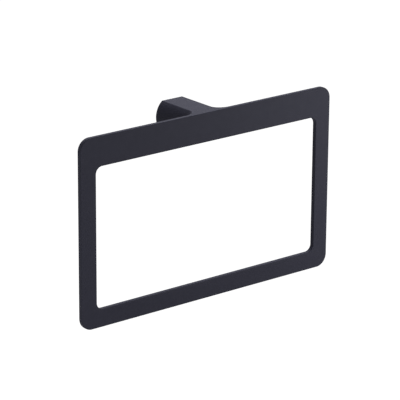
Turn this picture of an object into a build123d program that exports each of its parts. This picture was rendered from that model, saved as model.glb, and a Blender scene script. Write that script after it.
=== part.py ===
"""Rectangular towel ring: a flat rounded frame cast in one piece with its wall post.

Frame: millimetres, X along the width of the ring, +Y into the wall, +Z up. The wall is the
plane Y = 0, and the origin is where the axis of the round post meets it.
"""

import os
from math import radians, sqrt, tan

from build123d import *

# Ring plate
ring_width = 250.0
ring_height = 154.0
plate_thickness = 3.8
top_border = 24.0
side_border = 14.7
bottom_border = 14.9
outer_corner_radius = 10.0
window_corner_radius = 5.8
edge_round = 0.6

# Post between the wall and the plate
standoff = 44.1  # wall to the back of the plate
post_radius = 16.25
post_flat_width = 20.2  # flat on top of the post, flush with the top of the plate
flare_radius = 8.2  # hollow curve from the post to the back of the plate
flare_land = 1.5  # plate left between the foot of the flare and the window
neck_land = 1.5  # level stretch of the underside behind the flare
underside_angle = 55.0  # climb of the underside from the round boss at the wall to the neck
underside_blend = 6.0  # hollow curve at the top of that climb
underside_round = 2.5  # rounded edge along the underside

# Socket in the wall end of the post
socket_wall = 3.5
socket_end_wall = 2.5  # boss left beyond the end of the socket

# Wall bracket inside the socket
bracket_clearance = 0.25
bracket_depth = 9.0
bracket_chamfer = 0.8
screw_hole_radius = 2.25
screw_head_radius = 4.25
screw_head_angle = 90.0
screw_edge = 2.0  # bracket left outside each countersink

# Set screw through the underside of the post
set_screw_radius = 2.0
set_screw_length = 6.0
set_screw_recess = 0.5  # depth of its outer end below the skin of the post
set_screw_chamfer = 0.4
thread_clearance = 0.05
hex_across_flats = 2.0
hex_depth = 2.2
dimple_clearance = 0.25

# Heights above the post's axis, and what else follows from the sizes above
flat_height = sqrt(post_radius**2 - (post_flat_width / 2) ** 2)
plate_centre = flat_height - ring_height / 2
window_top = flat_height - top_border
window_width = ring_width - 2 * side_border
window_height = ring_height - top_border - bottom_border
window_centre = window_top - window_height / 2
flare_bottom = window_top + flare_land
neck_bottom = flare_bottom + flare_radius
flare_reach = post_radius + flare_radius
blend_setback = underside_blend * tan(radians(underside_angle / 2))
neck_length = flare_radius + neck_land + blend_setback
climb_length = (neck_bottom + post_radius) / tan(radians(underside_angle))
boss_length = standoff - neck_length - climb_length
socket_radius = post_radius - socket_wall
socket_flat = flat_height - socket_wall
socket_depth = boss_length - socket_end_wall
bracket_radius = socket_radius - bracket_clearance
bracket_flat = socket_flat - bracket_clearance
screw_spacing = 2 * (bracket_radius - screw_edge - screw_head_radius)
set_screw_bottom = set_screw_recess - post_radius
set_screw_tip = set_screw_bottom + set_screw_length

# The set screw points up at the middle of the bracket's depth
set_screw_axis = Plane(origin=(0, -bracket_depth / 2, 0))


def flat_topped_disc(radius, flat):
    """Round outline cut off by a level line at a height above its centre."""
    with BuildSketch(mode=Mode.PRIVATE) as outline:
        Circle(radius)
        with Locations((0, flat)):
            Rectangle(2 * radius, radius, align=(Align.CENTER, Align.MIN), mode=Mode.SUBTRACT)
    return outline.sketch


def edges_round_post(back):
    """Edges on the back of the plate that run round the post, above the window."""
    beside = back.edges().filter_by_position(Axis.X, -flare_reach, flare_reach)
    return beside.filter_by_position(Axis.Z, flare_bottom - flare_land / 2, flat_height, (True, False))


# Towel ring: plate, post and socket in one casting
with BuildPart() as towel_ring:
    # Post, round with a flat top
    with BuildSketch(Plane.XZ):
        add(flat_topped_disc(post_radius, flat_height))
    extrude(amount=standoff)

    # Underside, which climbs towards the plate so that it stays behind the top border
    with BuildSketch(Plane.YZ) as underside:
        with BuildLine():
            Polyline(
                (-boss_length, -post_radius),
                (-boss_length - climb_length, neck_bottom),
                (-standoff, neck_bottom),
                (-standoff, -post_radius),
                close=True,
            )
        make_face()
        neck_corners = underside.vertices().sort_by(Axis.Y)[-2:]
        fillet(neck_corners.sort_by(Axis.X)[-1], underside_blend)
    extrude(amount=post_radius, both=True, mode=Mode.SUBTRACT)
    cut_edges = towel_ring.edges(Select.LAST).filter_by(Axis.X, reverse=True)
    fillet(cut_edges.filter_by_position(Axis.Y, -standoff, 0, (False, False)), underside_round)

    # Plate with its window
    with BuildSketch(Plane.XZ.offset(standoff)):
        with Locations((0, plate_centre)):
            RectangleRounded(ring_width, ring_height, outer_corner_radius)
        with Locations((0, window_centre)):
            RectangleRounded(window_width, window_height, window_corner_radius, mode=Mode.SUBTRACT)
    extrude(amount=plate_thickness)

    # Flare from the post to the back of the plate, cut off level by the flush top
    front, back = towel_ring.faces().filter_by(Axis.Y).sort_by(Axis.Y)[:2]
    fillet(edges_round_post(back), flare_radius)

    # Rounded edges of the plate, of its window and along the top of the flare and the post
    front, back = towel_ring.faces().filter_by(Axis.Y).sort_by(Axis.Y)[:2]
    plate_edges = front.edges() + (back.edges() - edges_round_post(back))
    top = towel_ring.faces().sort_by(Axis.Z)[-1]
    post_edges = top.edges().filter_by_position(Axis.Y, -standoff, 0, (False, False))
    fillet(plate_edges + post_edges, edge_round)

    # Socket for the wall bracket, with the same flat top
    with BuildSketch(Plane.XZ):
        add(flat_topped_disc(socket_radius, socket_flat))
    extrude(amount=socket_depth, mode=Mode.SUBTRACT)

    # Tapped hole for the set screw, through the wall below the socket
    with BuildSketch(set_screw_axis):
        Circle(set_screw_radius + thread_clearance)
    extrude(amount=-post_radius, mode=Mode.SUBTRACT)

# Wall bracket: flat-topped disc with two countersunk holes and a dimple for the set screw
with BuildPart() as wall_bracket:
    with BuildSketch(Plane.XZ):
        add(flat_topped_disc(bracket_radius, bracket_flat))
    extrude(amount=bracket_depth)
    chamfer(wall_bracket.faces().sort_by(Axis.Y)[0].edges(), bracket_chamfer)
    with Locations(Plane.XZ.offset(bracket_depth)):
        with GridLocations(screw_spacing, 0, 2, 1):
            CounterSinkHole(
                screw_hole_radius, screw_head_radius, counter_sink_angle=screw_head_angle
            )
    with BuildSketch(set_screw_axis.offset(set_screw_tip)):
        Circle(set_screw_radius + dimple_clearance)
    extrude(amount=-bracket_radius, mode=Mode.SUBTRACT)

# Set screw: headless, with a hexagon socket in its outer end
with BuildPart() as set_screw:
    with BuildSketch(set_screw_axis.offset(set_screw_bottom)):
        Circle(set_screw_radius)
    extrude(amount=set_screw_length)
    chamfer(set_screw.edges().filter_by(GeomType.CIRCLE), set_screw_chamfer)
    with BuildSketch(set_screw_axis.offset(set_screw_bottom)):
        RegularPolygon(hex_across_flats / 2, 6, major_radius=False)
    extrude(amount=hex_depth, mode=Mode.SUBTRACT)

towel_ring.part.label = "towel_ring"
wall_bracket.part.label = "wall_bracket"
set_screw.part.label = "set_screw"

os.makedirs("parts", exist_ok=True)
export_step(towel_ring.part, "parts/towel_ring.step")
export_step(wall_bracket.part, "parts/wall_bracket.step")
export_step(set_screw.part, "parts/set_screw.step")
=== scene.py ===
# %% [markdown]
# # A matte black towel ring
# This lesson dresses a finished CAD model of a rectangular towel ring. The ring, the bracket that
# hides in its post and the little screw that locks the two are already there at their real size.
# What is left for Blender is what the eye meets: the powder coat, the bare metals, the thread of
# the screw, and a photographer's light.

# %% Load the measured model
from math import cos, pi, radians, sin

import bmesh
import bpy
from mathutils import Matrix, Vector


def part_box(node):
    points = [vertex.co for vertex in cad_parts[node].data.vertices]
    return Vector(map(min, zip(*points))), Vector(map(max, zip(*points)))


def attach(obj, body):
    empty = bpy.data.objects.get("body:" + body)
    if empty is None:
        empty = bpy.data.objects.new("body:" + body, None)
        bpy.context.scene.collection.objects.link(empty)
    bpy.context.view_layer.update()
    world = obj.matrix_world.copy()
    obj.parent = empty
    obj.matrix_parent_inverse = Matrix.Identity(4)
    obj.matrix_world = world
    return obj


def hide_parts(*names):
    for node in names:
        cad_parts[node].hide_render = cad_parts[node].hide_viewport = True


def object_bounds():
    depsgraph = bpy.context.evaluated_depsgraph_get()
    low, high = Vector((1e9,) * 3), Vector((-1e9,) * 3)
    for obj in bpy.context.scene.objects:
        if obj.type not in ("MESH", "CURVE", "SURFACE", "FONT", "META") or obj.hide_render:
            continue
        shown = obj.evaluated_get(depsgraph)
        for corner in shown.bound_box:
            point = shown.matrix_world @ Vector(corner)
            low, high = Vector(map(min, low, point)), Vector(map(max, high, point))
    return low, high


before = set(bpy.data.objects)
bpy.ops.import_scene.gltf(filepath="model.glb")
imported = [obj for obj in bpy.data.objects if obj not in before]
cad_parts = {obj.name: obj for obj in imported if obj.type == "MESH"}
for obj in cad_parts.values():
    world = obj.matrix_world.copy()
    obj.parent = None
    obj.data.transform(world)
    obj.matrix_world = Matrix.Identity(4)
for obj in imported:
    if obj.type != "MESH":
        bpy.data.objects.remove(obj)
cad_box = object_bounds()
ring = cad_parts["towel_ring"]
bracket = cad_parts["wall_bracket"]
print("nodes:", ", ".join(sorted(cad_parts)))

# %% [markdown]
# ## Units and helpers
# The scene is in metres, but a maker thinks of such a thing in millimetres, so one constant turns
# the one into the other. Colours are written as a painter's hex values. A shader works in linear
# light, and one function makes that step. A second one adds a node to a material, with its
# settings and its links, which keeps each material below as short as a recipe. Some nodes have
# several sockets of one name, and those go by number. Patterns are laid out on the object itself,
# so that a grain has the same real size on every piece.

# %% Millimetres, colours and nodes
MM = 0.001


def linear(hex_colour):
    """Linear RGBA of an sRGB colour such as '#28282e'."""
    parts = [int(hex_colour[i:i + 2], 16) / 255 for i in (1, 3, 5)]
    return [p / 12.92 if p <= 0.04045 else ((p + 0.055) / 1.055) ** 2.4 for p in parts] + [1.0]


def add_node(tree, kind, settings=None, links=None):
    """Adds a node. A lower-case setting is a property, any other name or number is an input."""
    node = tree.nodes.new(kind)
    for name, value in (settings or {}).items():
        if isinstance(name, str) and name.islower():
            setattr(node, name, value)
        else:
            node.inputs[name].default_value = value
    for name, source in (links or {}).items():
        tree.links.new(source, node.inputs[name])
    return node


def new_material(name):
    """A material with an empty node tree."""
    material = bpy.data.materials.new(name)
    material.use_nodes = True
    material.node_tree.nodes.clear()
    return material, material.node_tree


print("near black in linear light:", [round(c, 4) for c in linear("#28282e")])

# %% [markdown]
# ## The powder coat
# The ring is a zinc casting with a black polyester powder coat. The powder is sprayed on dry and
# baked, so it melts into an even skin, but never quite level: it keeps a slow waviness, called
# orange peel, and a matte grade carries a fine grit that scatters the light. To the eye it is a
# deep, slightly blue black with a wide soft sheen and no mirror image. A single dark colour would
# look like a hole in the picture, so noise at two sizes, given in millimetres, drives the tone,
# the roughness and the bump.

# %% Powder coat, matte black
PEEL_SIZE = 7.0  # from crest to crest of the orange peel
PEEL_HEIGHT = 0.04
GRIT_SIZE = 0.5  # the real grit is about 0.1 mm, drawn coarser so that a render can show it
GRIT_HEIGHT = 0.1
NOISE_LOW, NOISE_HIGH = 0.3, 0.7  # most of a noise texture lies between these values


def powder_coat():
    """Matte black polyester powder coat: deep tone, wide sheen, faint grit."""
    material, tree = new_material("powder_coat_matte_black")
    place = add_node(tree, "ShaderNodeTexCoord").outputs["Object"]
    peel = add_node(
        tree, "ShaderNodeTexNoise",
        {"Scale": 1 / (PEEL_SIZE * MM), "Detail": 2.0, "Roughness": 0.4}, {"Vector": place},
    )
    grit = add_node(
        tree, "ShaderNodeTexNoise",
        {"Scale": 1 / (GRIT_SIZE * MM), "Detail": 3.0, "Roughness": 0.6}, {"Vector": place},
    )
    tone = add_node(
        tree, "ShaderNodeMix",
        {"data_type": "RGBA", "A": linear("#2d2d37"), "B": linear("#31313b")},
        {"Factor": peel.outputs["Fac"]},
    )
    dullness = add_node(
        tree, "ShaderNodeMapRange",
        {"From Min": NOISE_LOW, "From Max": NOISE_HIGH, "To Min": 0.5, "To Max": 0.58},
        {"Value": grit.outputs["Fac"]},
    )
    waves = add_node(
        tree, "ShaderNodeBump", {"Distance": PEEL_HEIGHT * MM}, {"Height": peel.outputs["Fac"]}
    )
    skin = add_node(
        tree, "ShaderNodeBump", {"Distance": GRIT_HEIGHT * MM},
        {"Height": grit.outputs["Fac"], "Normal": waves.outputs["Normal"]},
    )
    shader = add_node(
        tree, "ShaderNodeBsdfPrincipled", {"IOR": 1.5, "Specular IOR Level": 0.05},
        {
            "Base Color": tone.outputs["Result"],
            "Roughness": dullness.outputs["Result"],
            "Normal": skin.outputs["Normal"],
        },
    )
    add_node(tree, "ShaderNodeOutputMaterial", links={"Surface": shader.outputs["BSDF"]})
    return material


ring.material_slots[0].material = powder_coat()
print("ring:", ring.material_slots[0].material.name, "on", len(ring.data.polygons), "faces")

# %% [markdown]
# ## The bracket's bare zinc
# The bracket never shows once the ring is on the wall, so it is left as it came out of the die:
# die-cast zinc, a soft grey metal. Its skin is dull, with cloudy flow marks where the metal ran
# into the mould and a fine sandy tooth, again in millimetres. A metal has no colour under its
# reflection, so the clouds go into the tint and the roughness of the reflection.

# %% Zinc alloy, as cast
FLOW_MARK = 5.0
CAST_TOOTH = 0.6  # the real tooth is about 0.2 mm, drawn coarser so that a render can show it
CAST_TOOTH_HEIGHT = 0.015


def cast_zinc():
    """Bare die-cast zinc alloy: dull grey metal with cloudy flow marks."""
    material, tree = new_material("zinc_alloy_as_cast")
    place = add_node(tree, "ShaderNodeTexCoord").outputs["Object"]
    flow = add_node(
        tree, "ShaderNodeTexNoise",
        {"Scale": 1 / (FLOW_MARK * MM), "Detail": 4.0, "Distortion": 1.2}, {"Vector": place},
    )
    tooth = add_node(
        tree, "ShaderNodeTexNoise",
        {"Scale": 1 / (CAST_TOOTH * MM), "Detail": 2.0}, {"Vector": place},
    )
    tint = add_node(
        tree, "ShaderNodeMix",
        {"data_type": "RGBA", "A": linear("#85878a"), "B": linear("#a9abae")},
        {"Factor": flow.outputs["Fac"]},
    )
    dullness = add_node(
        tree, "ShaderNodeMapRange",
        {"From Min": NOISE_LOW, "From Max": NOISE_HIGH, "To Min": 0.5, "To Max": 0.66},
        {"Value": flow.outputs["Fac"]},
    )
    skin = add_node(
        tree, "ShaderNodeBump", {"Distance": CAST_TOOTH_HEIGHT * MM},
        {"Height": tooth.outputs["Fac"]},
    )
    shader = add_node(
        tree, "ShaderNodeBsdfPrincipled", {"Metallic": 1.0},
        {
            "Base Color": tint.outputs["Result"],
            "Roughness": dullness.outputs["Result"],
            "Normal": skin.outputs["Normal"],
        },
    )
    add_node(tree, "ShaderNodeOutputMaterial", links={"Surface": shader.outputs["BSDF"]})
    return material


bracket.material_slots[0].material = cast_zinc()
print("bracket:", bracket.material_slots[0].material.name)

# %% [markdown]
# ## The set screw's steel
# The screw that locks the ring on its bracket is turned from stainless steel bar. Turning leaves
# fine rings round the axis, so the roughness follows thin bands along the height, and the metal
# is brighter and smoother than the zinc around it.

# %% Stainless steel, turned
TOOL_MARK = 0.25  # millimetres between the rings that the turning tool leaves
ONE_BAND = pi / 10  # scale at which a wave texture has one band per metre


def turned_steel():
    """Turned stainless steel: bright metal with fine rings round its axis."""
    material, tree = new_material("stainless_steel_turned")
    place = add_node(tree, "ShaderNodeTexCoord").outputs["Object"]
    rings = add_node(
        tree, "ShaderNodeTexWave",
        {"bands_direction": "Z", "Scale": ONE_BAND / (TOOL_MARK * MM), "Distortion": 0.6},
        {"Vector": place},
    )
    polish = add_node(
        tree, "ShaderNodeMapRange", {"To Min": 0.26, "To Max": 0.4},
        {"Value": rings.outputs["Fac"]},
    )
    tint = add_node(
        tree, "ShaderNodeMix",
        {"data_type": "RGBA", "A": linear("#a3a19d"), "B": linear("#bcbab6")},
        {"Factor": rings.outputs["Fac"]},
    )
    shader = add_node(
        tree, "ShaderNodeBsdfPrincipled", {"Metallic": 1.0},
        {"Base Color": tint.outputs["Result"], "Roughness": polish.outputs["Result"]},
    )
    add_node(tree, "ShaderNodeOutputMaterial", links={"Surface": shader.outputs["BSDF"]})
    return material


steel = turned_steel()
print("screw:", steel.name)

# %% [markdown]
# ## The set screw
# In the model the screw is a plain cylinder with a hexagon socket. The real one is an M4 screw
# with no head: a thread all along, a socket for a 2 mm key in the end that shows, and a cup at the
# other end that bites into the bracket. A thread could be a swept profile, which is hard to close
# cleanly at its ends. Here every height of the screw is one ring of points instead, and the radius
# of each point says how far it is from the thread's crest. Rings of equal count are easily joined
# into one closed skin, and the hexagon and the cup are just more rings.

# %% Sizes of the screw
screw_low, screw_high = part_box("set_screw")
screw_axis = Vector(((screw_low.x + screw_high.x) / 2, (screw_low.y + screw_high.y) / 2, 0))
screw_length = screw_high.z - screw_low.z
crest_radius = (screw_high.x - screw_low.x) / 2
THREAD_PITCH = 0.7 * MM
THREAD_DEPTH = 0.6134 * THREAD_PITCH  # the standard depth of a metric outside thread
THREAD_FLAT = 0.1  # share of the pitch that is flat at the crest, and again at the root
END_CHAMFER = 0.4 * MM
KEY_WIDTH = 2.0 * MM
KEY_DEPTH = 2.2 * MM
DRILL_POINT = 0.35 * MM
CUP_RADIUS = 1.1 * MM
CUP_DEPTH = 0.5 * MM
POINTS_ROUND = 48
STEPS_PER_PITCH = 8
print("screw: radius %.2f mm, length %.2f mm" % (crest_radius / MM, screw_length / MM))


# %% Radius of the thread and of the hexagon
def thread_radius(angle, height):
    """Radius of the screw's skin: a thread that runs out in the chamfers at both ends."""
    turn = (height / THREAD_PITCH - angle / (2 * pi)) % 1.0
    from_crest = abs(2 * turn - 1)
    depth = min(1.0, max(0.0, (from_crest - THREAD_FLAT) / (1 - 2 * THREAD_FLAT)))
    from_end = min(height - screw_low.z, screw_high.z - height)
    chamfer = max(0.0, END_CHAMFER - from_end)
    return crest_radius - max(depth * THREAD_DEPTH, chamfer)


def key_radius(angle):
    """Radius of the hexagon socket, which is smallest at the middle of its flats."""
    from_flat = (angle + pi / 6) % (pi / 3) - pi / 6
    return KEY_WIDTH / 2 / cos(from_flat)


print("thread depth %.2f mm" % (THREAD_DEPTH / MM))


# %% Rings of points from the socket to the cup
def screw_rings():
    """Each ring is a height and a function that gives the radius at an angle."""
    end_radius = crest_radius - END_CHAMFER
    steps = round(screw_length / THREAD_PITCH * STEPS_PER_PITCH)
    rings = [(screw_low.z + KEY_DEPTH, key_radius), (screw_low.z, key_radius)]
    rings.append((screw_low.z, lambda angle: end_radius))
    for step in range(1, steps):
        height = screw_low.z + screw_length * step / steps
        rings.append((height, lambda angle, height=height: thread_radius(angle, height)))
    rings.append((screw_high.z, lambda angle: end_radius))
    rings.append((screw_high.z, lambda angle: CUP_RADIUS))
    return rings


print("rings of the screw:", len(screw_rings()))


# %% Skin over the rings
def threaded_screw():
    """One closed mesh: rings joined by quads, and a fan at the end of the socket and of the cup."""
    mesh = bmesh.new()
    loops = []
    for height, radius in screw_rings():
        loop = []
        for k in range(POINTS_ROUND):
            angle = 2 * pi * k / POINTS_ROUND
            out = Vector((cos(angle), sin(angle), 0)) * radius(angle)
            loop.append(mesh.verts.new(screw_axis + out + Vector((0, 0, height))))
        loops.append(loop)
    for lower, upper in zip(loops, loops[1:]):
        for k in range(POINTS_ROUND):
            after = (k + 1) % POINTS_ROUND
            mesh.faces.new((lower[k], lower[after], upper[after], upper[k]))
    socket_end = screw_axis + Vector((0, 0, screw_low.z + KEY_DEPTH + DRILL_POINT))
    cup_end = screw_axis + Vector((0, 0, screw_high.z - CUP_DEPTH))
    for loop, point in ((loops[0], socket_end), (loops[-1], cup_end)):
        tip = mesh.verts.new(point)
        for k in range(POINTS_ROUND):
            mesh.faces.new((loop[k], loop[(k + 1) % POINTS_ROUND], tip))
    bmesh.ops.recalc_face_normals(mesh, faces=mesh.faces)
    data = bpy.data.meshes.new("threaded_set_screw")
    mesh.to_mesh(data)
    mesh.free()
    return data


screw_skin = threaded_screw()
print("skin of the screw:", len(screw_skin.vertices), "points")

# %% Put the screw in its place
SHARP_FROM = 32  # degrees between faces above which an edge stays sharp

set_screw = bpy.data.objects.new("threaded_set_screw", screw_skin)
bpy.context.scene.collection.objects.link(set_screw)
set_screw.data.shade_smooth()
set_screw.data.set_sharp_from_angle(angle=radians(SHARP_FROM))
set_screw.data.materials.append(steel)
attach(set_screw, "root")
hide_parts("set_screw")
print("set screw:", len(set_screw.data.polygons), "faces")

# %% [markdown]
# ## Floor and white surround
# A catalogue picture shows such a ring on pure white. The floor is a pale matt surface far below,
# as if the ring hung on its wall, so that its shadow falls out of the picture. What the camera,
# a reflection or a pane of glass sees of floor and sky is white, but what lights the ring is kept
# at a plain level. The light path tells the two apart.

# %% Pale floor
FLOOR_BELOW = 1.6  # metres from the lower rail of the ring to the floor
FLOOR_SIZE = 24.0
FLOOR_LIFT = 0.95  # glow that turns the lit floor to white for the eye, and leaves its shadow


def seen_by_eye(tree):
    """1 for rays that come from the camera or by way of a reflection or glass, else 0."""
    path = add_node(tree, "ShaderNodeLightPath")
    direct = add_node(
        tree, "ShaderNodeMath", {"operation": "MAXIMUM"},
        {0: path.outputs["Is Camera Ray"], 1: path.outputs["Is Glossy Ray"]},
    )
    seen = add_node(
        tree, "ShaderNodeMath", {"operation": "MAXIMUM"},
        {0: direct.outputs["Value"], 1: path.outputs["Is Transmission Ray"]},
    )
    return seen.outputs["Value"]


floor_material, tree = new_material("studio_floor_pale")
lift = add_node(
    tree, "ShaderNodeMapRange", {"To Min": 0.0, "To Max": FLOOR_LIFT}, {"Value": seen_by_eye(tree)}
)
shader = add_node(
    tree, "ShaderNodeBsdfPrincipled",
    {
        "Base Color": linear("#e4e4e2"),
        "Roughness": 0.9,
        "Specular IOR Level": 0.0,
        "Emission Color": linear("#ffffff"),
    },
    {"Emission Strength": lift.outputs["Result"]},
)
add_node(tree, "ShaderNodeOutputMaterial", links={"Surface": shader.outputs["BSDF"]})

bpy.ops.mesh.primitive_plane_add(size=FLOOR_SIZE, location=(0, 0, cad_box[0].z - FLOOR_BELOW))
floor = bpy.context.object
floor.name = "studio_floor"
floor.data.materials.append(floor_material)
print("floor at z = %.3f m" % floor.location.z)

# %% White surround
SKY_LEVEL = 0.15  # light that the surround throws on the ring; the eye sees it at 1, which is white

world = bpy.data.worlds.new("studio")
bpy.context.scene.world = world
world.use_nodes = True
tree = world.node_tree
tree.nodes.clear()
level = add_node(
    tree, "ShaderNodeMapRange", {"To Min": SKY_LEVEL, "To Max": 1.0}, {"Value": seen_by_eye(tree)}
)
sky = add_node(
    tree, "ShaderNodeBackground", {"Color": linear("#ffffff")}, {"Strength": level.outputs["Result"]}
)
add_node(tree, "ShaderNodeOutputWorld", links={"Surface": sky.outputs["Background"]})
print("surround: level %.2f on the ring" % SKY_LEVEL)

# %% [markdown]
# ## Lamps
# The picture was lit by a soft light at the right of the front, which makes the front face grow a
# little paler from left to right, and by a broad, slightly cool one overhead, which picks out the
# flat top of the post and the top edge of the plate. A weak fill at the left keeps the near end
# from going under. The left side of the post gets none of them and stays dark. Area lamps do this
# with soft shadows, and each is simply aimed at the middle of the ring.

# %% Soft lamps
ring_centre = (cad_box[0] + cad_box[1]) / 2


def soft_lamp(name, place, size, power, colour):
    """A square area lamp, in metres and watts, aimed at the middle of the ring."""
    data = bpy.data.lights.new(name, "AREA")
    data.size = size
    data.energy = power
    data.color = linear(colour)[:3]
    lamp = bpy.data.objects.new(name, data)
    lamp.location = Vector(place)
    lamp.rotation_euler = (ring_centre - lamp.location).to_track_quat("-Z", "Y").to_euler()
    bpy.context.scene.collection.objects.link(lamp)
    return lamp


for lamp in (
    soft_lamp("front_right_softbox", (0.38, -0.36, -0.02), size=0.3, power=2.2, colour="#ffffff"),
    soft_lamp("overhead_softbox", (0.45, 0.65, 1.1), size=1.6, power=25.5, colour="#ececff"),
    soft_lamp("left_fill", (-0.32, -0.20, -0.11), size=0.2, power=0.42, colour="#ffffff"),
):
    print(lamp.name, "%.2f W" % lamp.data.energy)

# %% [markdown]
# ## Camera
# The ring is seen from its left and a little from above, with a long lens, so that its far end
# looks only slightly smaller than its near one. The camera is placed from the angles of that view
# and from where the middle of the plate's front lies in the picture.

# %% Camera at the angle of the picture
VIEW_AZIMUTH = radians(-38.91)  # from the left of the ring
VIEW_ELEVATION = radians(18.46)
VIEW_ROLL = radians(0.40)
VIEW_DISTANCE = 1.8909  # metres
RIGHT_OF_CENTRE = 7.39 * MM  # where the middle of the plate's front lies in the picture
BELOW_CENTRE = 4.54 * MM
LENS = 216.0
SENSOR = 36.0

plate_centre = Vector((ring_centre.x, cad_box[0].y, ring_centre.z))
back = Vector((
    sin(VIEW_AZIMUTH) * cos(VIEW_ELEVATION),
    -cos(VIEW_AZIMUTH) * cos(VIEW_ELEVATION),
    sin(VIEW_ELEVATION),
))
level_right = Vector((cos(VIEW_AZIMUTH), sin(VIEW_AZIMUTH), 0))
level_up = back.cross(level_right)
right = level_right * cos(VIEW_ROLL) + level_up * sin(VIEW_ROLL)
up = back.cross(right)

camera = bpy.data.objects.new("camera", bpy.data.cameras.new("camera"))
camera.data.lens = LENS
camera.data.sensor_width = SENSOR
rotation = Matrix((right, up, back)).transposed().to_4x4()
seat = plate_centre - right * RIGHT_OF_CENTRE + up * BELOW_CENTRE + back * VIEW_DISTANCE
camera.matrix_world = Matrix.Translation(seat) @ rotation
bpy.context.scene.collection.objects.link(camera)
bpy.context.scene.camera = camera
bpy.context.scene.view_settings.view_transform = "Standard"
print("camera at", [round(v, 3) for v in seat])
